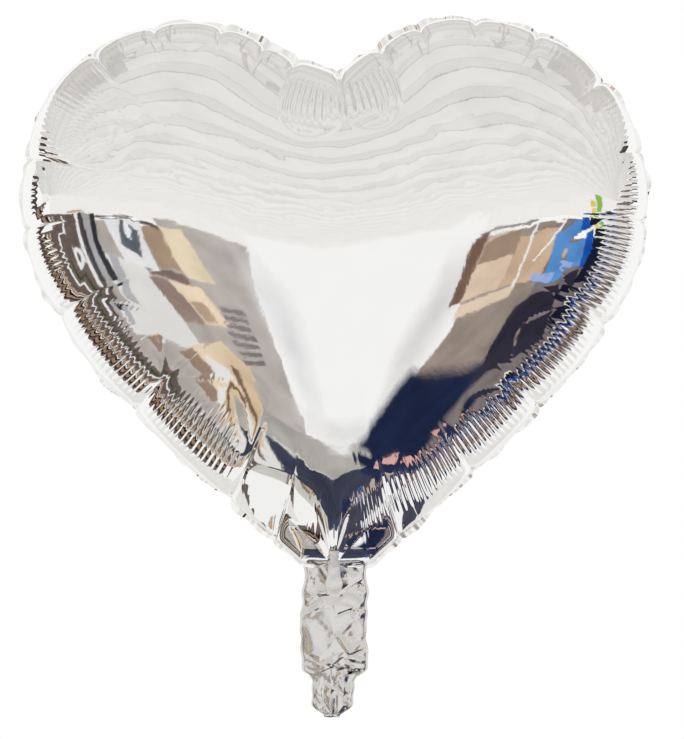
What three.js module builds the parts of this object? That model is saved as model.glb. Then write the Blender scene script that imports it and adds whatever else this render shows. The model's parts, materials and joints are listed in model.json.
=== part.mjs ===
// A heart-shaped foil balloon, blown up, with its flat filling tail hanging below it.
// Millimetres, +Z up. X runs across the heart and -Y is its front. The origin is the middle of the neck,
// on the line where the heart's tip folds into the tail.
import * as THREE from "three";

// Driving dimensions
const HEART_WIDTH = 370;
const HEART_TOP = 328;
const HEART_THICKNESS = 170;
const CLEFT_DEPTH = 33;
const SEAM_MARGIN = 3; // width of the flat heat-sealed rim outside the weld line
const FILM = 1; // the film is far thinner; this is the least that a solid can be handled with
const TAIL_WIDTH = 38.6;
const TAIL_END_WIDTH = 24.5;
const TAIL_FOLD = 64; // from the neck fold down to the fold of the tail's end
const TAIL_BOTTOM = 85;
const TAIL_PLY = 1.4; // a crumpled ply takes up more room than flat film
const VALVE_WIDTH = 25;
const VALVE_REACH = 80; // how far the valve runs up inside the heart
const VALVE_PLY = 0.5;

// Clearances
const FACE_GAP = 0.3; // between pieces that lie on each other
const ABOVE_FOLD = 3.5; // free height over a fold line, so that what hangs there can swing
const BELOW_FOLD = 0.5;

// Mesh fineness
const HALF_OUTLINE_STEPS = 36;
const NECK_STEPS = 3;
const RINGS = 8;

// How the gas fills the heart: the tip is drawn in towards the flat neck.
const HALF_THICKNESS = HEART_THICKNESS / 2;
const HEART_CENTRE = new THREE.Vector2(0, 0.58 * HEART_TOP);
const TIP_PINCH = 0.55;
const TIP_REACH = 40;

const SEAM_FACE = FACE_GAP / 2;
const VALVE_FACE = SEAM_FACE + VALVE_PLY;
const TAIL_FACE = VALVE_FACE + FACE_GAP;

// Metallised film, mirror-bright
const foil = () => new THREE.MeshStandardMaterial({ color: 0xdcdcde, metalness: 1, roughness: 0.08 });

// Milky see-through film
const valveFilm = () =>
  new THREE.MeshStandardMaterial({
    color: 0xe6e8ea,
    metalness: 0,
    roughness: 0.35,
    transparent: true,
    opacity: 0.6,
  });

// The right half of the heart's outline, as (x, z), from the cleft round the lobe and down to the neck.
function halfOutline() {
  const halfWidth = HEART_WIDTH / 2;
  const point = (across, up) => new THREE.Vector2(across * halfWidth, up * HEART_TOP);
  const cleft = new THREE.Vector2(0, HEART_TOP - CLEFT_DEPTH);
  const lobeTop = point(0.405, 1);
  const widest = point(1, 0.665);
  const neck = new THREE.Vector2(TAIL_WIDTH / 2, ABOVE_FOLD);
  const half = new THREE.CurvePath();
  half.add(new THREE.CubicBezierCurve(cleft, point(0.12, 0.902), point(0.227, 1), lobeTop));
  half.add(new THREE.CubicBezierCurve(lobeTop, point(0.703, 1), point(1, 0.854), widest));
  half.add(new THREE.CubicBezierCurve(widest, point(1, 0.43), point(0.5, 0.21), neck));
  return half.getSpacedPoints(HALF_OUTLINE_STEPS);
}

// The whole outline, clockwise seen from the front: cleft, right lobe, neck, left lobe.
function heartOutline() {
  const right = halfOutline();
  const left = right
    .slice(1)
    .reverse()
    .map((p) => new THREE.Vector2(-p.x, p.y));
  const neck = [];
  for (let i = 1; i < NECK_STEPS; i++) neck.push(right.at(-1).clone().lerp(left[0], i / NECK_STEPS));
  return [...right, ...neck, ...left];
}

// The outline moved inwards by a distance, each point along the bisector of its two edges.
function inset(outline, distance) {
  return outline.map((p, i) => {
    const before = outline.at(i - 1);
    const after = outline[(i + 1) % outline.length];
    const inwards = (a, b) => new THREE.Vector2(b.y - a.y, a.x - b.x).normalize();
    const first = inwards(before, p);
    const bisector = first.clone().add(inwards(p, after)).normalize();
    return p.clone().addScaledVector(bisector, distance / bisector.dot(first));
  });
}

// A smooth stand-in for the distance to the weld line: near an edge it is the distance itself, and
// inside a circle it is a paraboloid. Each edge counts by the angle it takes up over its distance.
function roomInside(p, weld) {
  let crowding = 0;
  weld.forEach((a, i) => {
    const b = weld[(i + 1) % weld.length];
    const toA = a.clone().sub(p);
    const toB = b.clone().sub(p);
    const angle = Math.abs(Math.atan2(toA.cross(toB), toA.dot(toB)));
    const away = Math.abs(toA.cross(toB)) / a.distanceTo(b);
    if (away > 1e-6) crowding += angle / away;
    else if (angle > 1e-6) crowding = Infinity;
  });
  return Math.PI / crowding;
}

// How far the gas pushes one film out from the middle plane at a point of the heart.
function bulge(p, weld, mostRoom) {
  const tip = 1 - TIP_PINCH * Math.exp(-p.y / TIP_REACH);
  return HALF_THICKNESS * Math.sqrt(roomInside(p, weld) / mostRoom) * tip;
}

// Triangles between rings of points, of which the first and the last hold a single point.
function skinOfRings(rings) {
  const positions = rings.flat().flatMap((p) => [p.x, p.y, p.z]);
  const around = Math.max(...rings.map((ring) => ring.length));
  const index = [];
  let start = 0;
  for (let r = 0; r + 1 < rings.length; r++) {
    const next = start + rings[r].length;
    for (let i = 0; i < around; i++) {
      const j = (i + 1) % around;
      const single = rings[r].length === 1;
      const nextSingle = rings[r + 1].length === 1;
      if (single) index.push(start, next + j, next + i);
      else if (nextSingle) index.push(start + i, start + j, next);
      else index.push(start + i, start + j, next + j, start + i, next + j, next + i);
    }
    start = next;
  }
  const skin = new THREE.BufferGeometry();
  skin.setAttribute("position", new THREE.Float32BufferAttribute(positions, 3));
  skin.setIndex(index);
  skin.computeVertexNormals();
  return skin;
}

// The front film of the heart: a bowl of even thickness with a flat sealed rim round its edge.
function heartPanel() {
  const outline = heartOutline();
  const weld = inset(outline, SEAM_MARGIN);
  const innerWeld = inset(outline, SEAM_MARGIN + FILM);
  const mostRoom = roomInside(HEART_CENTRE, weld);
  const rimFace = -(SEAM_FACE + FILM);
  const at = (ring, y) => ring.map((p) => new THREE.Vector3(p.x, y, p.y));

  const bowl = [[new THREE.Vector3(HEART_CENTRE.x, rimFace - HALF_THICKNESS, HEART_CENTRE.y)]];
  for (let k = RINGS - 1; k > 0; k--) {
    const share = Math.cos((Math.PI / 2) * (k / RINGS));
    const ring = weld.map((p) => HEART_CENTRE.clone().lerp(p, share));
    bowl.push(ring.map((p) => new THREE.Vector3(p.x, rimFace - bulge(p, weld, mostRoom), p.y)));
  }
  bowl.push(at(weld, rimFace));

  const outer = skinOfRings(bowl);
  const vertex = new THREE.Vector3();
  const normal = new THREE.Vector3();
  let n = 0;
  const towardsGas = () => {
    vertex.fromBufferAttribute(outer.getAttribute("position"), n);
    normal.fromBufferAttribute(outer.getAttribute("normal"), n);
    n += 1;
    return vertex.clone().addScaledVector(normal, -FILM);
  };
  const lining = bowl.map((ring) => ring.map(towardsGas));
  lining[lining.length - 1] = at(innerWeld, -SEAM_FACE);
  return skinOfRings([...bowl, at(outline, rimFace), at(outline, -SEAM_FACE), ...lining.reverse()]);
}

// A flat strip between two heights, as (x, z), with round corners at its lower end.
function strip(width, top, bottom, corner) {
  const half = width / 2;
  const shape = new THREE.Shape();
  shape.moveTo(-half, top);
  shape.lineTo(-half, bottom + corner);
  shape.absarc(-half + corner, bottom + corner, corner, Math.PI, 1.5 * Math.PI, false);
  shape.absarc(half - corner, bottom + corner, corner, 1.5 * Math.PI, 2 * Math.PI, false);
  shape.lineTo(half, top);
  return shape;
}

// A ply cut from a strip, whose inner face lies at a distance in front of the middle plane.
function frontPly(outline, innerFace, thickness) {
  const ply = new THREE.ExtrudeGeometry(outline, { depth: thickness, bevelEnabled: false, curveSegments: 6 });
  ply.rotateX(Math.PI / 2);
  ply.translate(0, -innerFace, 0);
  return ply;
}

// A front piece and the same piece turned over behind it.
function pair(group, frontName, backName, geometry, material) {
  const front = new THREE.Mesh(geometry, material());
  front.name = frontName;
  const back = new THREE.Mesh(geometry, material());
  back.name = backName;
  back.scale.y = -1;
  group.add(front, back);
}

function heart() {
  const group = new THREE.Group();
  pair(group, "front_foil_panel", "back_foil_panel", heartPanel(), foil);
  const valveBottom = ABOVE_FOLD + 2 * SEAM_MARGIN;
  const valve = strip(VALVE_WIDTH, VALVE_REACH, valveBottom, 1);
  pair(group, "valve_film_front", "valve_film_back", frontPly(valve, SEAM_FACE, VALVE_PLY), valveFilm);
  return group;
}

// The tail below the neck fold, with the lower part of the valve between its plies.
function tail() {
  const group = new THREE.Group();
  const bottom = ABOVE_FOLD - TAIL_FOLD;
  const ply = strip(TAIL_WIDTH, -BELOW_FOLD, bottom, 8);
  pair(group, "tail_front_ply", "tail_back_ply", frontPly(ply, TAIL_FACE, TAIL_PLY), foil);
  const inlet = strip(VALVE_WIDTH, -BELOW_FOLD, bottom + SEAM_MARGIN, 1);
  pair(group, "valve_inlet_front", "valve_inlet_back", frontPly(inlet, SEAM_FACE, VALVE_PLY), valveFilm);
  return group;
}

// The narrower end of the tail, below its own fold.
function tailEnd() {
  const group = new THREE.Group();
  group.position.z = -TAIL_FOLD;
  const ply = strip(TAIL_END_WIDTH, -BELOW_FOLD, TAIL_FOLD - TAIL_BOTTOM, 9);
  pair(group, "tail_end_front_ply", "tail_end_back_ply", frontPly(ply, SEAM_FACE, TAIL_PLY), foil);
  return group;
}

const balloon = new THREE.Group();
balloon.add(heart(), tail(), tailEnd());

export default balloon;
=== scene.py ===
"""A silver foil balloon in the shape of a heart, blown up, with its crumpled filling tail.

Blender 4.5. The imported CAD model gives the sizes; the foil is built here by formulas, in millimetres, on
a lattice: its columns run from the sealed edge to the middle of the heart and its rows run round it.
"""

import json
import math

import bpy
import numpy as np
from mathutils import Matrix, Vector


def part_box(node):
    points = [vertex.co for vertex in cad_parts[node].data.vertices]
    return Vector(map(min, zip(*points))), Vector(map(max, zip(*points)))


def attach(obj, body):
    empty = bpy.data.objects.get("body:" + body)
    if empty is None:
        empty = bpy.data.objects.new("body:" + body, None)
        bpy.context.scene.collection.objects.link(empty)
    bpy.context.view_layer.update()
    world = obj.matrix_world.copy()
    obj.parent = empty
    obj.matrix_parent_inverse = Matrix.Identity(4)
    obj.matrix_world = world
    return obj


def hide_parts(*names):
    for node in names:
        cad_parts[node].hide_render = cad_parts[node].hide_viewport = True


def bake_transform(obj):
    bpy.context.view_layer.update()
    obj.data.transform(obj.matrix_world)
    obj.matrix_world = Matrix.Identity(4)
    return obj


MM = 0.001
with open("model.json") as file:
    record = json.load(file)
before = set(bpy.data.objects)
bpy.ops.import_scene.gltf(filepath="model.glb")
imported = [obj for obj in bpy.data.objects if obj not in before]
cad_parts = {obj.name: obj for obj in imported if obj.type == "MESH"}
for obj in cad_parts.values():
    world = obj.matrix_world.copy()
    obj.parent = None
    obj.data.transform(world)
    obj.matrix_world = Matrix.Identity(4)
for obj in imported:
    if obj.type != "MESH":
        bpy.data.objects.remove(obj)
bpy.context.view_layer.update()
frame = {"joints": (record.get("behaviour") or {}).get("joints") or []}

# Driving sizes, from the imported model
PANEL_LOW, PANEL_HIGH = (np.array(corner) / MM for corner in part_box("front_foil_panel"))
HALF_WIDTH = PANEL_HIGH[0]
TOP = PANEL_HIGH[2]
HALF_THICKNESS = -PANEL_LOW[1]
TAIL_FOLD = next(joint["pos_m"][2] for joint in frame["joints"] if joint["child"] == "tail_end") / MM

# The heart's lattice
COLUMNS = 3648
ROWS = 88
SEAM_STEP = 6
SAMPLE_STEP = 4
LATTICE_CENTRE = np.array([0.0, 0.58 * TOP])
SQUARE_START = 62.0  # how far the columns leave the edge at a right angle to it
RIM_WIDTH = 2.3
RUFFLE = 0.55
# From each of these rows on, one column in so many is kept
COLUMN_THINNING = ((44, 2), (56, 4), (66, 8), (76, 16), (84, 32))

# The heart's special places
CLEFT_BOTTOM = 280.0  # all of the seam in the cleft lies above this height
CLEFT_EASE = 0.35  # how much of the cleft's pull on the film below it is left out
NECK_MIDDLE = (-1.8, 4.0)
FAN_MIDDLE = (1.5, 297)  # the two pleated lobes at the bottom of the cleft
FAN_HALF_WIDTH = 25.0

# Gathers across the seam: they start and end at these distances from it
CRIMP_PITCH = 3.9
CRIMP_HEIGHT = 0.45
CRIMP_START = (19, 32)
CRIMP_END_LOW_RIGHT = 62.0
PLEAT_HEIGHT = 1.2
PLEAT_START = (38, 56)

# Where the edge is drawn in between two lobes, as (x, z) near the seam, clockwise from the cleft
RIGHT_NODES = [(27, 303), (50, 314), (82, 323), (117, 312), (152, 283), (177, 246), (175, 206),
               (155, 147), (120, 96), (82, 58), (38, 20)]
LEFT_NODES = [(-34, 22), (-58, 48), (-113, 100), (-156, 154), (-184, 201), (-180, 241), (-141, 302),
              (-107, 320), (-66, 318), (-42, 306), (-24, 297), (1, 293)]

VALVE_NODES = ("valve_film_front", "valve_film_back", "valve_inlet_front", "valve_inlet_back")

FLANGE_ANGLE = 0.72  # from upright, where the roof above the neck meets the flat flanges beside it

# Folds that fan out above the neck: angle from upright, half angle and height of each
TIP_FOLDS = [(-0.15, 0.13, 0.8), (0.15, 0.14, 1.0)]

# The tail
TAIL_BOTTOM = -86.8
TAIL_MIDDLE = -1.2  # the tail and the valve's channel hang a little to one side

# The camera looks level at the balloon. The image's width and scale are those of the photograph.
CAMERA_DISTANCE = 1.5
CAMERA_AIM = (0.0035, 0.0, 0.1185)
IMAGE_WIDTH_PX = 684
MM_PER_PX = 0.5854
VIEW_MARGIN = 1.008

STUDIO_MIDDLE = np.array([0.0, 0.0, 0.19])  # the point that the cards face
FLOOR_HEIGHT = -5.0
FLOOR_HALF_SIDE = 9.0
UNEVENNESS = 0.25  # how far the light of a black panel varies over it; a white one is even

# Studio panels that face the balloon: name, azimuth, elevation, width and height in degrees, and colour.
# Then, where they differ from the usual: distance in metres, turn in degrees, and the share that fades out
STUDIO_CARDS = [
    ("left_wall", -26, -28.7, 23, 56, (0.5, 0.455, 0.425), 4.6),
    ("left_far", -50, -33, 31, 55, (0.46, 0.42, 0.39), 4.7),
    ("left_dark", -88, -30, 48, 57, (0.147, 0.112, 0.102), 4.7),
    ("right_wall", 40, -32, 27, 55, (0.314, 0.258, 0.223), 4.6),
    ("right_far", 64, -34, 27, 57, (0.2, 0.17, 0.17), 4.7),
    ("right_dark", 92, -30, 36, 57, (0.05, 0.05, 0.09), 4.7),
    ("sweep", 6.5, -25, 49, 57, (0.97, 0.97, 0.97), 4.2),
    ("sweep_shade_left", -14, -24, 13, 50, (0.8, 0.8, 0.81), 4.05, -4, 0.85),
    ("sweep_shade_right", 26, -26, 13, 50, (0.72, 0.71, 0.71), 4.05, 6, 0.85),
    ("sweep_shade_low", 5, -49, 44, 12, (0.84, 0.84, 0.84), 4.05, 0, 0.7),
    ("sweep_edge", 2, -57.5, 54, 9, (0.43, 0.42, 0.385), 4.1),
    ("sweep_lip", 2, -62.2, 54, 0.9, (0.72, 0.7, 0.66), 4.0),
    ("under", 0, -71, 58, 18, (0.045, 0.05, 0.08), 3.8),
    ("left_top_line", -52, -3.4, 34, 1.3, (0.12, 0.1, 0.1), 4.0, 2),
    ("copper_line", -71, -0.6, 10, 0.5, (0.45, 0.22, 0.14), 4.0),
    ("right_top_line", 38, -3.0, 14, 1.0, (0.3, 0.27, 0.25), 4.0),
    ("tan_box_front", -32.5, -9, 6.5, 13, (0.8, 0.68, 0.5), 3.6, -8),
    ("tan_box_side", -39, -9.5, 7, 10, (0.4, 0.29, 0.2), 3.6, -8),
    ("box_shadow", -41, -17, 10, 3, (0.2, 0.14, 0.12)),
    ("box_2_front", -37, -23, 8, 9, (0.8, 0.66, 0.49), 3.5, -10),
    ("box_2_hollow", -37.5, -25, 4, 4, (0.5, 0.36, 0.26), 3.3, -10),
    ("box_2_side", -44, -24, 6, 9, (0.3, 0.22, 0.19), 3.5, -10),
    ("box_3_front", -44, -36, 13, 7, (0.76, 0.62, 0.45), 3.5, -12),
    ("box_3_side", -53, -38, 6, 7, (0.33, 0.24, 0.18), 3.5, -12),
    ("vase", -48, -10, 11, 13, (0.82, 0.82, 0.84), 3.4),
    ("vase_hollow", -47.5, -9, 5.5, 8, (0.1, 0.12, 0.14), 3.3, 20),
    ("vase_gleam", -47, -7, 1.4, 4, (0.9, 0.9, 0.95), 3.2, 20),
    ("pale_cloth", -55, -25, 15, 18, (0.78, 0.77, 0.76)),
    ("cloth_shade", -59, -22, 3, 14, (0.42, 0.42, 0.44), 3.3, 14),
    ("stripe_coal", -62, -12, 3, 22, (0.03, 0.03, 0.035), 3.3),
    ("stripe_grey", -65, -12, 3, 22, (0.4, 0.4, 0.42), 3.3),
    ("stripe_dark", -68, -12, 2.5, 22, (0.06, 0.055, 0.06), 3.3),
    ("stripe_white", -71, -14, 2, 26, (0.85, 0.85, 0.85), 3.3),
    ("low_white", -53, -49, 8, 28, (0.8, 0.79, 0.77), 3.4, 38),
    ("low_brown_line", -50, -47, 1.2, 26, (0.2, 0.12, 0.08), 3.3, 38),
    ("low_tan", -46.5, -45, 4.5, 28, (0.72, 0.56, 0.38), 3.35, 38),
    ("green_line", -77, -34, 2.2, 36, (0.06, 0.08, 0.04), 3.3),
    ("left_white_1", -82, -30, 1.8, 54, (0.85, 0.84, 0.82)),
    ("left_tan", -92, -30, 2.4, 54, (0.5, 0.38, 0.26)),
    ("left_white_2", -96, -30, 1.6, 54, (0.85, 0.82, 0.78)),
    ("left_coal_1", -99, -30, 3, 54, (0.015, 0.012, 0.01)),
    ("left_brown", -104, -30, 6, 54, (0.32, 0.21, 0.13)),
    ("left_coal_2", -108.5, -30, 3, 54, (0.02, 0.015, 0.015)),
    ("left_shelf", -111, 5, 12, 15, (0.08, 0.06, 0.055)),
    ("crate_edge", 30.5, -12.5, 3, 19, (0.2, 0.12, 0.085), 3.5, -4),
    ("crate_inside", 36.5, -13, 9, 17, (0.74, 0.58, 0.44), 3.6, -4),
    ("crate_shade", 36.5, -8, 9, 6, (0.36, 0.26, 0.19), 3.5, -4),
    ("crate_lip", 40, -23.5, 13, 3, (0.8, 0.64, 0.5), 3.4, -4),
    ("crate_side", 48, -14, 13, 14, (0.6, 0.43, 0.3), 3.6, -2),
    ("white_pole", 45.5, -12, 0.8, 20, (0.9, 0.9, 0.9), 3.2, -3),
    ("white_brace", 53, -9, 0.8, 13, (0.9, 0.9, 0.9), 3.2, 35),
    ("blue_cloth", 61, -14, 11, 15, (0.1, 0.28, 0.62), 3.4, -20),
    ("blue_hem", 56, -20, 9, 3, (0.3, 0.42, 0.75), 3.3, 10),
    ("back_screen", 180, -6, 62, 52, (0.9, 0.9, 0.89), 4.6),
    ("back_stripe", 172, -6, 5, 52, (0.75, 0.75, 0.75), 4.4),
    ("back_floor", 180, -52, 80, 30, (0.82, 0.81, 0.79), 4.4),
    ("blue_deep", 67, -12, 5, 19, (0.01, 0.08, 0.4), 3.3, -10),
    ("blue_black", 73, -15, 8, 26, (0.01, 0.012, 0.03), 3.3),
    ("green_spot", 74, 2, 4, 5, (0.25, 0.5, 0.08)),
    ("yellow_spot", 70, 0, 3, 4, (0.8, 0.6, 0.15)),
    ("dark_bag", 63.5, -33, 14, 17, (0.03, 0.027, 0.045), 3.4, -25),
    ("right_white_1", 80, -30, 1.8, 54, (0.85, 0.82, 0.78)),
    ("right_black", 83.5, -30, 4, 54, (0.01, 0.01, 0.015)),
    ("right_blue", 88, -28, 4, 50, (0.03, 0.12, 0.45)),
    ("right_white_2", 91.5, -30, 1.6, 54, (0.8, 0.76, 0.72)),
    ("right_rose", 95.5, -30, 5, 54, (0.3, 0.2, 0.165)),
    ("right_coal", 99.5, -30, 2.5, 54, (0.02, 0.015, 0.015)),
    ("right_brown", 104, -30, 6, 54, (0.38, 0.28, 0.22)),
    ("right_shelf", 111, 5, 12, 15, (0.08, 0.07, 0.065)),
    ("navy_figure", 43, -49, 31, 23, (0.012, 0.02, 0.06), 3.4, 12, 0.25),
    ("navy_low", 66, -58, 34, 16, (0.02, 0.03, 0.08), 3.5),
    ("pink_streak", 57, -55, 15, 3, (0.72, 0.4, 0.36), 3.2, -20),
]
VENT_SLATS = 7

# Larger panels of the room behind the camera: name, middle, the two half-sides and colour
ROOM_PANELS = [
    ("far_wall", (0, -22, 0.5), (26, 0, 0), (0, 0, 1.6), (0.92, 0.91, 0.89)),
    ("navy_floor", (0, -2.95, -4.6), (1.4, 0, 0), (0, 2.65, 0), (0.05, 0.06, 0.11)),
    ("brown_floor", (-4.2, -2.6, -4.6), (2.8, 0, 0), (0, 3.0, 0), (0.24, 0.17, 0.13)),
    ("coal_floor", (4.2, -1.8, -4.6), (2.8, 0, 0), (0, 3.8, 0), (0.06, 0.06, 0.09)),
]

# Long strips above the floor under the balloon: name, left and right edge in metres, colour
STRIP_MIDDLE_Y = -0.9
STRIP_HALF_LENGTH = 1.3
STRIP_HEIGHT = -4.5
FLOOR_STRIPS = [
    ("floor_sheet_left", -3.4, -2.0, (0.62, 0.61, 0.58)),
    ("floor_tan", -1.9, -1.5, (0.62, 0.45, 0.31)),
    ("floor_edge", -1.4, -1.1, (0.84, 0.83, 0.8)),
    ("floor_grey", -1.1, -0.9, (0.3, 0.3, 0.32)),
    ("floor_blue", 1.3, 1.45, (0.05, 0.15, 0.45)),
    ("floor_rose", 1.8, 2.1, (0.5, 0.38, 0.34)),
    ("floor_sheet_right", 2.3, 3.2, (0.7, 0.68, 0.66)),
]

# The ceiling: boards across it that get deeper with the distance, from behind the balloon to the far wall
CEILING_HEIGHT = 2.0
CEILING_START = 2.8
CEILING_HALF_WIDTH = 26.0
CEILING_HALF_LENGTH = 12.5
CEILING_BOARDS = 22
BOARD_DEPTH = 0.45
BOARD_GROWTH = 1.08
# The pale lit part and the dark shaded part of a board, painted light and shade: middle and half depth as
# shares of its depth, and brightness
BOARD_LIT_AND_SHADED = ((0.3, 0.3, 1.018), (0.79, 0.18, 0.962))
CEILING_BEAMS = (-2.2, -1.3, -0.5, 0.5, 1.3, 2.2)


def smoothstep(low, high, x):
    t = np.clip((x - low) / (high - low), 0.0, 1.0)
    return t * t * (3.0 - 2.0 * t)


def bell(x, width):
    return np.exp(-((x / width) ** 2))


def bezier(a, b, c, d, steps=120):
    t = np.linspace(0.0, 1.0, steps)[:, None]
    a, b, c, d = (np.array(p, float) for p in (a, b, c, d))
    return (1 - t) ** 3 * a + 3 * (1 - t) ** 2 * t * b + 3 * (1 - t) * t * t * c + t ** 3 * d


def waves(points, length, count, seed):
    """Soft random undulation between about -1 and 1 of points, with wavelengths near length."""
    rng = np.random.default_rng(seed)
    total = np.zeros(points.shape[:-1])
    for _ in range(count):
        direction = rng.normal(size=points.shape[-1])
        direction *= 2 * math.pi / (np.linalg.norm(direction) * length * rng.uniform(0.7, 1.5))
        total += np.sin(points @ direction + rng.uniform(0, 2 * math.pi))
    return total / math.sqrt(count)


def seam_outline():
    """The seam, as COLUMNS evenly spaced (x, z) points clockwise from the cleft, and their spacing."""
    cleft, neck_right, neck_left = (-2, 292.5), (20.5, 4), (-20.5, 4)
    right_top, right_side = (74, TOP - 3.5), (HALF_WIDTH - 2.5, 216)
    left_top, left_side = (-86, TOP - 6), (-HALF_WIDTH + 1, 216)
    runs = [
        bezier(cleft, (17, 292.5), (30, TOP - 3.5), right_top),
        bezier(right_top, (133, TOP - 3.5), (HALF_WIDTH - 2.5, 284), right_side),
        bezier(right_side, (HALF_WIDTH - 2.5, 141), (92, 69), neck_right),
        bezier(neck_right, (8, 2), (-8, 2), neck_left),
        bezier(neck_left, (-92, 69), (-HALF_WIDTH + 1, 141), left_side),
        bezier(left_side, (-HALF_WIDTH + 1, 284), (-138, TOP - 6), left_top),
        bezier(left_top, (-46, TOP - 6), (-24, 292.5), cleft),
    ]
    line = np.vstack([run[:-1] for run in runs])
    closed = np.vstack([line, line[:1]])
    length = np.concatenate([[0], np.cumsum(np.linalg.norm(np.diff(closed, axis=0), axis=1))])
    at = np.arange(COLUMNS) * length[-1] / COLUMNS
    return np.stack([np.interp(at, length, closed[:, k]) for k in (0, 1)], axis=1), length[-1] / COLUMNS


def blur_round(values, width):
    """A closed run of values, smoothed over a width given in columns."""
    freq = np.fft.rfftfreq(len(values))
    damp = np.exp(-2 * (math.pi * freq * width) ** 2)
    return np.fft.irfft(np.fft.rfft(values, axis=0) * damp.reshape(-1, *[1] * (values.ndim - 1)),
                        len(values), axis=0)


def inward_normals(line, spacing):
    """Unit vectors that point from a closed clockwise line to its inside."""
    soft = blur_round(line, 5.0 / spacing)
    along = np.roll(soft, -1, axis=0) - np.roll(soft, 1, axis=0)
    normal = np.stack([along[:, 1], -along[:, 0]], axis=1)
    return normal / np.linalg.norm(normal, axis=1, keepdims=True)


def room_inside(points, weld):
    """A smooth stand-in for the distance to the seam, as in the CAD: each edge counts by its angle over
    its distance. The edges of the cleft count less from afar, because the film is taut below it."""
    crowding = np.zeros(len(points))
    for a, b in zip(weld, np.roll(weld, -1, axis=0)):
        to_a, to_b = a - points, b - points
        cross = np.abs(to_a[:, 0] * to_b[:, 1] - to_a[:, 1] * to_b[:, 0])
        angle = np.arctan2(cross, (to_a * to_b).sum(axis=1))
        in_cleft = bell(a[0], 62) * (a[1] > CLEFT_BOTTOM)
        eased = 1 - CLEFT_EASE * in_cleft * smoothstep(6, 60, np.linalg.norm(to_a, axis=1))
        crowding += eased * angle * np.linalg.norm(b - a) / np.maximum(cross, 1e-6)
    return math.pi / crowding


def angle_at_neck(x, z):
    """The direction from the neck to a point, as an angle from upright."""
    return np.arctan2(x - NECK_MIDDLE[0], np.maximum(z - NECK_MIDDLE[1], 1))


class Lattice:
    """The smooth blown-up heart before it is wrinkled: rows from the seam to the middle, columns round."""

    def __init__(self):
        self.seam, self.spacing = seam_outline()
        self.inward = inward_normals(self.seam, self.spacing)
        self.s = np.arange(COLUMNS) * self.spacing
        self.length = COLUMNS * self.spacing
        share = 1 - np.cos(0.5 * math.pi * (np.arange(ROWS) / (ROWS - 1)) ** 1.12)
        a = share[:, None, None]
        knee = self.seam + self.square_run()[:, None] * self.inward
        self.plan = (1 - a) ** 2 * self.seam + 2 * (1 - a) * a * knee + a * a * LATTICE_CENTRE
        self.height = self.heights()
        self.points = np.stack([self.plan[..., 0], -self.height, self.plan[..., 1]], axis=2)
        steps = np.linalg.norm(np.diff(self.points, axis=0), axis=2)
        self.t = np.concatenate([np.zeros((1, COLUMNS)), np.cumsum(steps, axis=0)])
        self.normals = self.unit_normals()

    def square_run(self):
        """How far each column goes straight in: less near the tip, where columns of both sides meet."""
        return 12 + (SQUARE_START - 12) * smoothstep(10, 170, self.seam[:, 1])

    def heights(self):
        """How far the film stands out from the seam's plane. The room inside the seam is worked out on some
        columns only, and filled in between them."""
        weld = self.seam[::SEAM_STEP]
        sample = self.plan[:, ::SAMPLE_STEP].reshape(-1, 2)
        room = room_inside(sample, weld).reshape(ROWS, -1)
        room[0] = 0.0
        wrapped = np.concatenate([room, room[:, :1]], axis=1)
        columns = np.arange(COLUMNS) / SAMPLE_STEP
        known = np.arange(wrapped.shape[1])
        full = np.stack([np.interp(columns, known, row) for row in wrapped])
        x, z = self.plan[..., 0], self.plan[..., 1]
        # the film is squeezed flat at the neck, where a low roof rises between two flat flanges
        tip = 1 - 0.6 * np.exp(-z / 43) - 0.22 * np.exp(-(np.maximum(z, 0) / 14) ** 1.5)
        from_upright = np.abs(angle_at_neck(x, z))
        low = (1 - smoothstep(16, 64, z)) * smoothstep(0, 30, z)
        roof = 1 - 0.46 * low * np.clip(from_upright / FLANGE_ANGLE, 0, 1) ** 1.3
        return HALF_THICKNESS * np.sqrt(full / full.max()) * tip * roof

    def unit_normals(self):
        """Outward normals. At the seam they lie in its plane, so that the two films meet there."""
        along = np.roll(self.points, -1, axis=1) - np.roll(self.points, 1, axis=1)
        inward = np.gradient(self.points, axis=0)
        normal = np.cross(inward, along)
        normal[0] = np.stack([-self.inward[:, 0], np.zeros(COLUMNS), -self.inward[:, 1]], axis=1)
        normal[-1] = (0, -1, 0)
        size = np.linalg.norm(normal, axis=2, keepdims=True)
        return normal / np.maximum(size, 1e-9)


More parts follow.
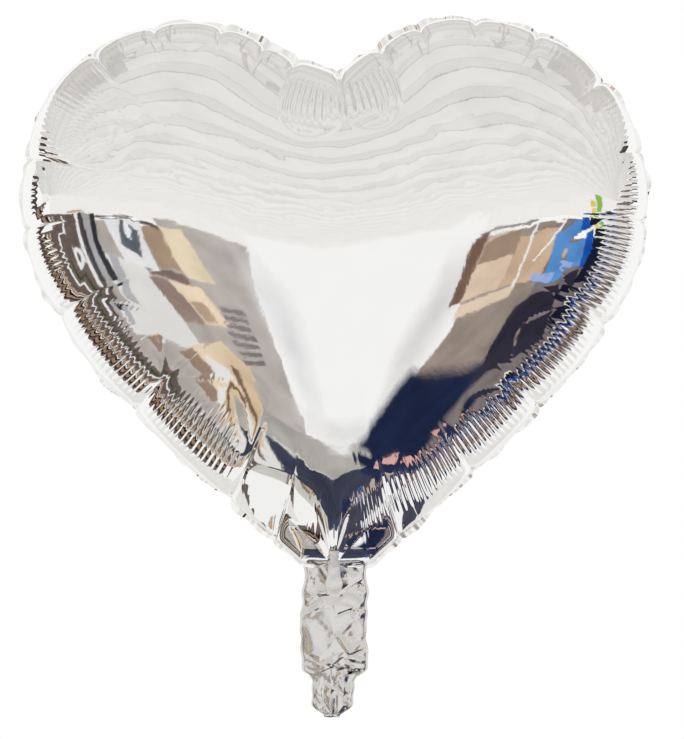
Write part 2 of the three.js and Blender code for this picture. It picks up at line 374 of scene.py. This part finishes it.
class Lobes:
    """Where each column lies in the run of lobes round the edge: its lobe's width, its distance from the
    nearest node, an arch that is 0 at the nodes and 1 halfway, and the places with their own wrinkles."""

    def __init__(self, lattice):
        nodes = np.array(RIGHT_NODES + LEFT_NODES, float)
        nearest = [np.argmin(np.linalg.norm(lattice.seam - node, axis=1)) for node in nodes]
        starts = np.sort(np.array(nearest)) * lattice.spacing
        following = np.append(starts[1:], starts[0] + lattice.length)
        index = np.searchsorted(starts, lattice.s, side="right") - 1
        position = np.where(index < 0, lattice.s + lattice.length, lattice.s)
        self.index = np.where(index < 0, len(starts) - 1, index)
        self.width = (following - starts)[self.index]
        across = (position - starts[self.index]) / self.width
        self.from_node = np.minimum(across, 1 - across) * self.width
        self.arch = np.sin(math.pi * np.clip(across, 0, 1))
        self.groove_length = np.clip(0.6 * self.width, 26, 48)

        # places on the edge, each 1 inside and 0 elsewhere
        x, z = lattice.seam.T
        away_from_fan = np.linalg.norm(lattice.seam - FAN_MIDDLE, axis=1)
        self.fan = 1 - smoothstep(FAN_HALF_WIDTH - 1, FAN_HALF_WIDTH + 1, away_from_fan)
        self.low_right = smoothstep(0, 60, x) * (1 - smoothstep(180, 250, z))
        left_of_tip = smoothstep(-90, -50, x) * (1 - smoothstep(-20, 0, x))
        self.smooth_tip = np.maximum(bell(x, 24), left_of_tip) * (1 - smoothstep(46, 64, z))

        # how far each lobe reaches in from the seam
        plain = np.clip(1.12 * self.width, 38, 94) * (0.66 + 0.34 * self.arch ** 0.8)
        plain *= 1 + 0.1 * self.low_right
        self.reach = plain * (1 - self.fan) + (74 + 12 * self.arch ** 0.5) * self.fan


def pillows(t, lobes):
    """Lobes that stand out like pillows, drawn in to a groove at each node, creased at their inner edge."""
    arch, fan, reach = lobes.arch, lobes.fan, lobes.reach
    height = np.clip(0.03 * lobes.width, 0.8, 2.4) * arch ** 0.6 * (1 - fan) + 3.0 * arch ** 0.45 * fan
    inside = np.clip(t / reach, 0, 1)
    pillow = 1.15 * height * (1 - inside ** (2.2 + 5 * fan)) * smoothstep(0, 9, t)
    crease_depth = 0.2 * arch ** 0.5 * (0.5 + 0.5 * np.sin(2.4 * lobes.index))
    crease = crease_depth * np.exp(-np.abs(t - reach) / 1.8)
    groove_depth = 2.2 + 1.3 * smoothstep(12, 40, t)
    groove = groove_depth * np.exp(-lobes.from_node / 2.3) * bell(t, lobes.groove_length)
    return pillow - groove - crease


def crimp_profile(lattice, lobes, seed):
    """Round ridges between sharp valleys: the profile along the seam, and how high and how long each ridge
    is beside the usual one."""
    rng = np.random.default_rng(seed)
    count = int(lattice.length / CRIMP_PITCH)
    pace = (1 + 0.4 * blur_round(rng.normal(size=COLUMNS), 4)) * (1 + 0.45 * lobes.fan)
    phase = np.cumsum(pace)
    phase *= count / phase[-1]
    ridge = np.abs(np.sin(math.pi * phase))
    number = np.floor(phase).astype(int) % count
    strength = rng.uniform(0.85, 1.15, count)[number]
    extent = rng.uniform(0.92, 1.07, count)[number]
    return ridge - 0.6, blur_round(strength, 2), blur_round(extent, 2)


def crimps(lattice, lobes, seed):
    """Fine gathers across the seam. They are pleats in the fan, faint at the top and absent at the tip."""
    t, fan, low_right = lattice.t, lobes.fan, lobes.low_right
    ridge, strength, extent = crimp_profile(lattice, lobes, seed)
    end = ((0.86 + 0.1 * fan) * lobes.reach * (1 - low_right) + CRIMP_END_LOW_RIGHT * low_right) * extent
    window = smoothstep(*CRIMP_START, t) * (1 - smoothstep((0.72 + 0.16 * fan) * end, end, t))
    faint_at_top = 1 - 0.72 * smoothstep(238, 262, lattice.seam[:, 1])
    plain_height = CRIMP_HEIGHT * (1 + 0.9 * low_right) * faint_at_top
    height = plain_height * (1 - fan) + PLEAT_HEIGHT * smoothstep(*PLEAT_START, t) * fan
    return height * ridge * strength * window * (1 - lobes.smooth_tip)


def uneven_film(points, seed):
    """The slow waves of the taut film, with small dents across it where the cleft pulls."""
    slow = 0.3 * waves(points, 130, 7, seed + 1) + 0.07 * waves(points, 48, 9, seed + 2)
    below_cleft = smoothstep(185, 215, points[..., 2]) * (1 - smoothstep(255, 285, points[..., 2]))
    return slow + 0.09 * np.abs(waves(points, 27, 7, seed + 3)) * below_cleft


def wrinkled(lattice, lobes, side_seed):
    """How far each lattice point of one film is pushed out along its normal."""
    t = lattice.t
    at_neck = bell(lattice.seam[:, 0], 34) * (lattice.seam[:, 1] < 30)
    lobed = pillows(t, lobes) * (1 - 0.7 * at_neck)
    # a ridge of tension goes on from each groove towards the middle
    tension = 0.15 * bell(lobes.from_node, 9) * bell(t - lobes.groove_length - 26, 26)
    uneven = uneven_film(lattice.points, side_seed) * smoothstep(20, 90, t)
    return lobed + tension + crimps(lattice, lobes, side_seed) + uneven


def tip_folds(points):
    """Two deep folds that rise from the neck, with a sharp valley between them."""
    x, z = points[..., 0], points[..., 2]
    angle = angle_at_neck(x, z)
    folds = sum(height * np.maximum(0, 1 - ((angle - middle) / half_angle) ** 2)
                for middle, half_angle, height in TIP_FOLDS)
    return folds * smoothstep(8, 26, z) * (1 - smoothstep(34, 50, z))


def uneven_wave(lattice, pitch, seed):
    """A wave round the seam whose pitch wanders."""
    rng = np.random.default_rng(seed)
    pace = np.maximum(1 + 2.4 * blur_round(rng.normal(size=COLUMNS), 9), 0.2)
    phase = np.cumsum(pace)
    return np.sin(2 * math.pi * round(lattice.length / pitch) * phase / phase[-1])


def film_surface(lattice, lobes, back):
    """Points of one film of the heart, from the outer edge of the sealed rim to the middle."""
    push = wrinkled(lattice, lobes, 40 if back else 10) + tip_folds(lattice.points)
    points = lattice.points + push[..., None] * lattice.normals
    if back:
        points[..., 1] *= -1
    side = 1 if back else -1

    # both films share the seam, which waves to the front and back; the neck stays open for the valve
    neck = bell(lattice.seam[:, 0], 16) * (lattice.seam[:, 1] < 12)
    sway = RUFFLE * uneven_wave(lattice, 11.5, 3) * (1 - neck)
    near = np.exp(-lattice.t / 6)
    points[..., 1] += sway * near + side * 2.2 * neck * np.exp(-lattice.t / 12)

    # the sealed rim outside the seam, gathered where the lobes meet
    rng = np.random.default_rng(5)
    in_cleft = bell(lattice.seam[:, 0], 55) * (lattice.seam[:, 1] > CLEFT_BOTTOM)
    uneven = 1 + 2.0 * blur_round(rng.normal(size=COLUMNS), 11)
    in_places = smoothstep(0, 0.12, blur_round(rng.normal(size=COLUMNS), 45))
    width = RIM_WIDTH * (uneven + 0.9 * in_cleft) * (1 - 0.9 * neck)
    flutter = RUFFLE * uneven_wave(lattice, 7.4, 4) * in_places * (1 - neck)
    outwards = -lattice.inward
    rim = []
    for share in (1.0, 0.8, 0.55, 0.3, 0.1):
        out = points[0][:, (0, 2)] + share * width[:, None] * outwards
        depth = points[0][:, 1] + share * flutter + side * 0.06
        rim.append(np.stack([out[:, 0], depth, out[:, 1]], axis=1))
    return np.concatenate([np.array(rim), points])


def lattice_faces(rows, stride):
    """Vertex picks and triangles of a round lattice. Its columns thin out towards the single last point."""
    picks = [row * COLUMNS + np.arange(0, COLUMNS, stride[row]) for row in range(rows - 1)]
    picks.append(np.array([(rows - 1) * COLUMNS]))
    starts = np.cumsum([0] + [len(pick) for pick in picks])
    triangles = []
    for row in range(rows - 1):
        near = starts[row] + np.arange(len(picks[row]))
        after = np.roll(near, -1)
        far = starts[row + 1] + np.arange(len(picks[row + 1]))
        far_after = np.roll(far, -1)
        if len(far) == 1:
            corners = [(near, after, np.full_like(near, far[0]))]
        elif len(far) == len(near):
            corners = [(near, after, far_after), (near, far_after, far)]
        else:
            odd = near[1::2]
            corners = [(near[0::2], odd, far), (odd, far_after, far), (odd, after[1::2], far_after)]
        triangles += [np.stack(corner, axis=1) for corner in corners]
    return np.concatenate(picks), np.concatenate(triangles)


def mesh_object(name, points, faces, material):
    """A smooth-shaded object from points in millimetres and triangles or quads."""
    mesh = bpy.data.meshes.new(name)
    corners = faces.shape[1]
    mesh.vertices.add(len(points))
    mesh.vertices.foreach_set("co", (points * MM).astype(np.float32).ravel())
    mesh.loops.add(faces.size)
    mesh.loops.foreach_set("vertex_index", faces.astype(np.int32).ravel())
    mesh.polygons.add(len(faces))
    mesh.polygons.foreach_set("loop_start", np.arange(0, faces.size, corners, dtype=np.int32))
    mesh.polygons.foreach_set("use_smooth", np.ones(len(faces), bool))
    mesh.update()
    mesh.validate()
    mesh.materials.append(material)
    piece = bpy.data.objects.new(name, mesh)
    bpy.context.collection.objects.link(piece)
    return piece


def heart_film(lattice, lobes, name, back, material):
    points = film_surface(lattice, lobes, back)
    rows = len(points)
    stride = np.ones(rows, int)
    for row, one_in in COLUMN_THINNING:
        stride[row:] = one_in
    picks, faces = lattice_faces(rows, stride)
    points = points.reshape(-1, 3)[picks]
    return mesh_object(name, points, faces if back else faces[:, ::-1], material)


def random_creases(rng, count, low, high, lean):
    """Short sharp folds in a patch: middle, direction, half width, half length and height of each."""
    middles = rng.uniform(low, high, (count, 2))
    angles = rng.choice(lean, count) + rng.normal(0, 0.3, count)
    sizes = zip(rng.uniform(0.6, 3.2, count), rng.uniform(2, 12, count), rng.uniform(-1, 1, count))
    return [(middle, angle, *size) for middle, angle, size in zip(middles, angles, sizes)]


def crumple(x, z, creases):
    """How far a set of creases lifts each point."""
    total = np.zeros_like(x)
    for (mx, mz), angle, half_width, half_length, height in creases:
        along = (x - mx) * math.cos(angle) + (z - mz) * math.sin(angle)
        across = (z - mz) * math.cos(angle) - (x - mx) * math.sin(angle)
        tent = np.maximum(0, 1 - np.abs(across) / half_width)
        fade = 1 - smoothstep(0.4 * half_length, half_length, np.abs(along))
        total += 0.55 * half_width * height * tent * fade
    return total


def grid_faces(rows, columns):
    """Quads between the points of a grid."""
    corner = (np.arange(rows - 1)[:, None] * columns + np.arange(columns - 1)).ravel()
    return np.stack([corner, corner + 1, corner + columns + 1, corner + columns], axis=1)


def tail_sheet(name, back, heights, half_width, offset, puff, creases, material):
    """One crumpled ply of the tail: flat sealed rims down both sides and a puffed middle."""
    u = np.sin(np.linspace(-0.5 * math.pi, 0.5 * math.pi, 120))
    z, share = np.meshgrid(heights, u, indexing="ij")
    x = offset(z) + share * half_width(z)
    inner = np.clip(1 - np.abs(share) * 1.08, 0, 1) ** 0.55
    depth = puff(z, share) * inner + 0.05
    depth += crumple(x, z, creases) * smoothstep(0, 0.35, inner)
    bend = 0.5 * waves(np.stack([x, z], axis=-1), 22, 5, 61)
    y = bend + (depth if back else -depth)
    points = np.stack([x, y, z], axis=-1).reshape(-1, 3)
    faces = grid_faces(*z.shape)
    return mesh_object(name, points, faces[:, ::-1] if back else faces, material)


def tail_films(foil):
    """The tail from the neck to its fold: two crumpled plies, puffed by the valve's channel inside."""
    rng = np.random.default_rng(21)
    pieces = []
    coarse, fine, sway, _ = rng.uniform(0, 6, 4)

    def half_width(z):
        neck = 19.6 - 1.6 * bell(z + 4, 5)
        corner = 5.5 * (1 - smoothstep(TAIL_FOLD + 1, -57, z)) ** 2
        return neck - corner + 0.35 * np.sin(z / 3.1 + coarse) + 0.25 * np.sin(z / 1.7 + fine)

    def offset(z):
        return TAIL_MIDDLE * (1 - smoothstep(-20, 0, z)) + 0.5 * np.sin(z / 6.0 + sway)

    def puff(z, share):
        channel = 1.9 * bell(share, 0.3) * smoothstep(-14, -2, z)
        return 2.6 + channel - 0.8 * bell(z + 12, 6)

    for side, back in (("front", False), ("back", True)):
        creases = random_creases(rng, 30, (-19, -60), (19, -2), (0.5, 2.6, 1.5))
        creases += random_creases(rng, 22, (-19, -14), (19, 2), (0.2, 2.4, 1.2))
        creases += random_creases(rng, 14, (-19, -28), (19, -12), (0.4,))
        creases += random_creases(rng, 18, (-18, -62), (18, -50), (0.5, 2.9))
        sheet = tail_sheet(f"tail_{side}_film", back, np.linspace(5.5, TAIL_FOLD + 1.6, 200),
                           half_width, offset, puff, creases, foil)
        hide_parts(f"tail_{side}_ply")
        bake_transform(sheet)
        pieces.append(sheet)
    return pieces


def neck_channel(film):
    """The soft inlet of the valve, squeezed out at the neck between the folds of the foil."""
    heights = np.linspace(12.5, -14, 70)
    share = np.linspace(-1, 1, 40)
    z, across = np.meshgrid(heights, share, indexing="ij")
    half_width = 2.8 + 1.9 * (1 - smoothstep(-8, 8, z)) + 0.4 * np.sin(z / 1.6)
    rise = 2.6 * np.sqrt(1 - across ** 2) * smoothstep(-14, -6, z)
    pinches = 0.45 * waves(np.stack([2 * across, z], axis=-1), 6, 6, 71) * (1 - across ** 2)
    base = 3.4 + 0.95 * np.maximum(z - 2, 0)
    points = np.stack([TAIL_MIDDLE + across * half_width, -base - rise - pinches, z], axis=-1)
    channel = mesh_object("neck_channel", points.reshape(-1, 3), grid_faces(*z.shape), film)
    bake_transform(channel)
    return channel


def tail_end_films(foil):
    """The narrower end below the tail's fold, splayed and pleated lengthwise."""
    rng = np.random.default_rng(33)
    pieces = []

    def half_width(z):
        mouth = 7.5 * (1 - smoothstep(-86.5, -76, z)) ** 2
        return 12.4 + 2.4 * smoothstep(-66, -61, z) - mouth + 0.3 * np.sin(z / 1.9)

    def offset(z):
        return -1.6 - 0.8 * (1 - smoothstep(-86, -64, z))

    def puff(z, share):
        pleats = 2.6 * np.abs((1.6 * share + 0.2) % 1 - 0.5)
        return (1.5 + pleats + 0.6 * (1 - smoothstep(-80, -66, z))) * smoothstep(TAIL_BOTTOM, -84, z)

    for side, back in (("front", False), ("back", True)):
        creases = random_creases(rng, 26, (-13, -86), (11, -62), (1.5, 1.2, 2.2))
        sheet = tail_sheet(f"tail_end_{side}_film", back, np.linspace(TAIL_FOLD + 2.6, TAIL_BOTTOM, 110),
                           half_width, offset, puff, creases, foil)
        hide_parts(f"tail_end_{side}_ply")
        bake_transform(sheet)
        pieces.append(sheet)
    return pieces


def node_material(name):
    material = bpy.data.materials.new(name)
    material.use_nodes = True
    nodes = material.node_tree.nodes
    return material, nodes, material.node_tree.links, nodes["Principled BSDF"]


def noise(nodes, links, scale, detail):
    """Clouds of noise in the object's own space."""
    place = nodes.new("ShaderNodeTexCoord")
    cloudy = nodes.new("ShaderNodeTexNoise")
    cloudy.inputs["Scale"].default_value = scale
    cloudy.inputs["Detail"].default_value = detail
    links.new(place.outputs["Object"], cloudy.inputs["Vector"])
    return cloudy.outputs["Fac"]


def spread(nodes, links, value, low, high):
    """A value between 0 and 1, moved to between low and high."""
    reach = nodes.new("ShaderNodeMapRange")
    reach.inputs["To Min"].default_value = low
    reach.inputs["To Max"].default_value = high
    links.new(value, reach.inputs["Value"])
    return reach


def bump(nodes, links, shader, height, strength, distance):
    relief = nodes.new("ShaderNodeBump")
    relief.inputs["Strength"].default_value = strength
    relief.inputs["Distance"].default_value = distance
    links.new(height, relief.inputs["Height"])
    links.new(relief.outputs["Normal"], shader.inputs["Normal"])


def foil_material(name, tint, gloss_low, gloss_high, grain):
    """Coated film: cloudy differences in gloss, and fine handling marks of the given strength."""
    material, nodes, links, shader = node_material(name)
    shader.inputs["Base Color"].default_value = (*tint, 1)
    shader.inputs["Metallic"].default_value = 1.0
    gloss = spread(nodes, links, noise(nodes, links, 38.0, 5.0), gloss_low, gloss_high)
    links.new(gloss.outputs["Result"], shader.inputs["Roughness"])
    bump(nodes, links, shader, noise(nodes, links, 210.0, 3.0), grain, 0.0004)
    return material


def valve_material():
    """Milky plastic film, cloudy where it is creased."""
    material, nodes, links, shader = node_material("milky_film")
    shader.inputs["Base Color"].default_value = (0.97, 0.97, 0.96, 1)
    shader.inputs["Transmission Weight"].default_value = 0.1
    shader.inputs["IOR"].default_value = 1.5
    cloudy = noise(nodes, links, 160.0, 4.0)
    haze = spread(nodes, links, cloudy, 0.15, 0.5)
    links.new(haze.outputs["Result"], shader.inputs["Roughness"])
    bump(nodes, links, shader, cloudy, 0.5, 0.0006)
    return material


def glow(name, colour, unevenness=0.0, fades=False):
    """Plain light. Where it fades, the mesh's cover attribute says how much of it is there."""
    material = bpy.data.materials.new(name)
    material.use_nodes = True
    nodes, links = material.node_tree.nodes, material.node_tree.links
    nodes.clear()
    emit = nodes.new("ShaderNodeEmission")
    emit.inputs["Color"].default_value = (*colour, 1)
    if unevenness:
        brightness = spread(nodes, links, noise(nodes, links, 1.7, 2.0), 1 - unevenness, 1 + unevenness)
        brightness.inputs["From Min"].default_value = 0.3
        brightness.inputs["From Max"].default_value = 0.7
        links.new(brightness.outputs["Result"], emit.inputs["Strength"])
    shown = emit.outputs["Emission"]
    if fades:
        cover = nodes.new("ShaderNodeAttribute")
        cover.attribute_name = "cover"
        clear = nodes.new("ShaderNodeBsdfTransparent")
        mix = nodes.new("ShaderNodeMixShader")
        links.new(cover.outputs["Fac"], mix.inputs["Fac"])
        links.new(clear.outputs["BSDF"], mix.inputs[1])
        links.new(shown, mix.inputs[2])
        shown = mix.outputs["Shader"]
    out = nodes.new("ShaderNodeOutputMaterial")
    links.new(shown, out.inputs["Surface"])
    return material


def panel(name, middle, right, up, colour, fade=0.0):
    """A flat studio panel, seen only in the foil: its middle and its two half-sides, in metres. Its light
    fades out over the given share of each half-side."""
    middle, right, up = (np.array(v, float) for v in (middle, right, up))
    stops = np.array([-1, fade - 1, 1 - fade, 1]) if fade else np.array([-1, 1])
    high, wide = np.meshgrid(stops, stops, indexing="ij")
    points = middle + wide.reshape(-1, 1) * right + high.reshape(-1, 1) * up
    light = glow(name, colour, UNEVENNESS * (1 - min(colour)), fades=fade > 0)
    board = mesh_object(name, points / MM, grid_faces(len(stops), len(stops)), light)
    if fade:
        cover = board.data.attributes.new("cover", "FLOAT", "POINT")
        inside = (np.abs(wide) < 1) & (np.abs(high) < 1)
        cover.data.foreach_set("value", inside.astype(np.float32).ravel())
    board.visible_camera = False
    board.visible_shadow = False


def card(name, azimuth, elevation, width, height, colour, away=3.5, turn=0.0, fade=0.0):
    """A panel that faces the balloon, placed and sized by angles in degrees. Azimuth 0 is the camera's."""
    az, el, roll = (math.radians(v) for v in (azimuth, elevation, turn))
    towards = np.array([math.sin(az) * math.cos(el), -math.cos(az) * math.cos(el), math.sin(el)])
    level = np.array([math.cos(az), math.sin(az), 0.0])
    upright = np.cross(level, towards)
    right = math.cos(roll) * level + math.sin(roll) * upright
    up = math.cos(roll) * upright - math.sin(roll) * level
    half_width, half_height = (away * math.tan(math.radians(v / 2)) for v in (width, height))
    panel(name, STUDIO_MIDDLE + away * towards, half_width * right, half_height * up, colour, fade)


def make_camera():
    data = bpy.data.cameras.new("camera")
    camera = bpy.data.objects.new("camera", data)
    bpy.context.collection.objects.link(camera)
    x, y, z = CAMERA_AIM
    camera.location = (x, y - CAMERA_DISTANCE, z)
    camera.rotation_euler = (math.radians(90), 0, 0)
    data.sensor_fit = "HORIZONTAL"
    seen_width = IMAGE_WIDTH_PX * MM_PER_PX * MM * VIEW_MARGIN
    data.lens = data.sensor_width * CAMERA_DISTANCE / seen_width
    bpy.context.scene.camera = camera


def make_surroundings():
    """An even white world and a pale floor far below."""
    world = bpy.data.worlds.new("studio")
    world.use_nodes = True
    background = world.node_tree.nodes["Background"]
    background.inputs["Color"].default_value = (1, 1, 1, 1)
    background.inputs["Strength"].default_value = 1.0
    bpy.context.scene.world = world
    bpy.context.scene.view_settings.view_transform = "Standard"
    corners = [(-1, -1), (1, -1), (1, 1), (-1, 1)]
    points = np.array([(FLOOR_HALF_SIDE * x, FLOOR_HALF_SIDE * y, FLOOR_HEIGHT) for x, y in corners])
    light = glow("pale_floor", (0.95, 0.95, 0.95))
    floor = mesh_object("floor", points / MM, np.array([[0, 1, 2, 3]]), light)


def make_ceiling():
    """A pale ceiling of boards with darker joints, which runs far back behind the camera."""
    half_width = (CEILING_HALF_WIDTH, 0, 0)
    near_edge = CEILING_START
    for row in range(CEILING_BOARDS):
        depth = BOARD_DEPTH * BOARD_GROWTH ** row
        # each board is drawn as a lit part and a darker shaded part: painted light and shade
        for middle, half, shade in BOARD_LIT_AND_SHADED:
            tone = shade * min(0.725 + 0.014 * row, 0.91)
            panel(f"ceiling_{row}", (0, near_edge - middle * depth, CEILING_HEIGHT), half_width,
                  (0, half * depth, 0), (tone, 0.985 * tone, 0.96 * tone))
        near_edge -= depth
    panel("ceiling_joints", (0, CEILING_START - CEILING_HALF_LENGTH, CEILING_HEIGHT + 0.03), half_width,
          (0, CEILING_HALF_LENGTH, 0), (0.5, 0.48, 0.45))
    for across in CEILING_BEAMS:
        panel("ceiling_beam", (across, 1.6, CEILING_HEIGHT - 0.03), (0.03, 0, 0), (0, 1.4, 0),
              (0.6, 0.58, 0.55))
    for side in (-1, 1):
        panel("ceiling_shade", (1.7 * side, 1.4, CEILING_HEIGHT - 0.02), (0.7, 0, 0), (0, 1.6, 0),
              (0.64, 0.625, 0.6))


def make_room():
    """What the foil mirrors below the ceiling: a white paper sweep, walls, floors, boxes and cloths."""
    for side in (-1, 1):
        panel("side_wall", (25.9 * side, -10, 0.5), (0, 12, 0), (0, 0, 1.6), (0.92, 0.91, 0.89))
    for values in ROOM_PANELS:
        panel(*values)
    for name, left, right, colour in FLOOR_STRIPS:
        panel(name, ((left + right) / 2, STRIP_MIDDLE_Y, STRIP_HEIGHT), ((right - left) / 2, 0, 0),
              (0, STRIP_HALF_LENGTH, 0), colour)
    for slat in range(VENT_SLATS):
        card(f"vent_{slat}", -28 - 0.6 * slat, -22 - 1.9 * slat, 6.5, 1.0, (0.2, 0.18, 0.18), 3.4, -14)
    for values in STUDIO_CARDS:
        card(*values)


def build():
    make_camera()
    make_surroundings()
    make_ceiling()
    make_room()
    foil = foil_material("silver_foil", (0.92, 0.915, 0.905), 0.02, 0.07, 0.05)
    # painted shade: the crumpled tail is the same foil as the heart, tinted darker so that it looks greyer
    shaded_creased_foil = foil_material("shaded_creased_foil", (0.7, 0.69, 0.675), 0.08, 0.2, 0.6)
    lattice = Lattice()
    lobes = Lobes(lattice)
    for side, back in (("front", False), ("back", True)):
        film = heart_film(lattice, lobes, f"{side}_film", back, foil)
        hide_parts(f"{side}_foil_panel")
        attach(film, "heart")
    for sheet in tail_films(shaded_creased_foil):
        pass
    for sheet in tail_end_films(shaded_creased_foil):
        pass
    milky = valve_material()
    channel = neck_channel(milky)
    for node in VALVE_NODES:
        bpy.data.objects[node].material_slots[0].material = milky


build()
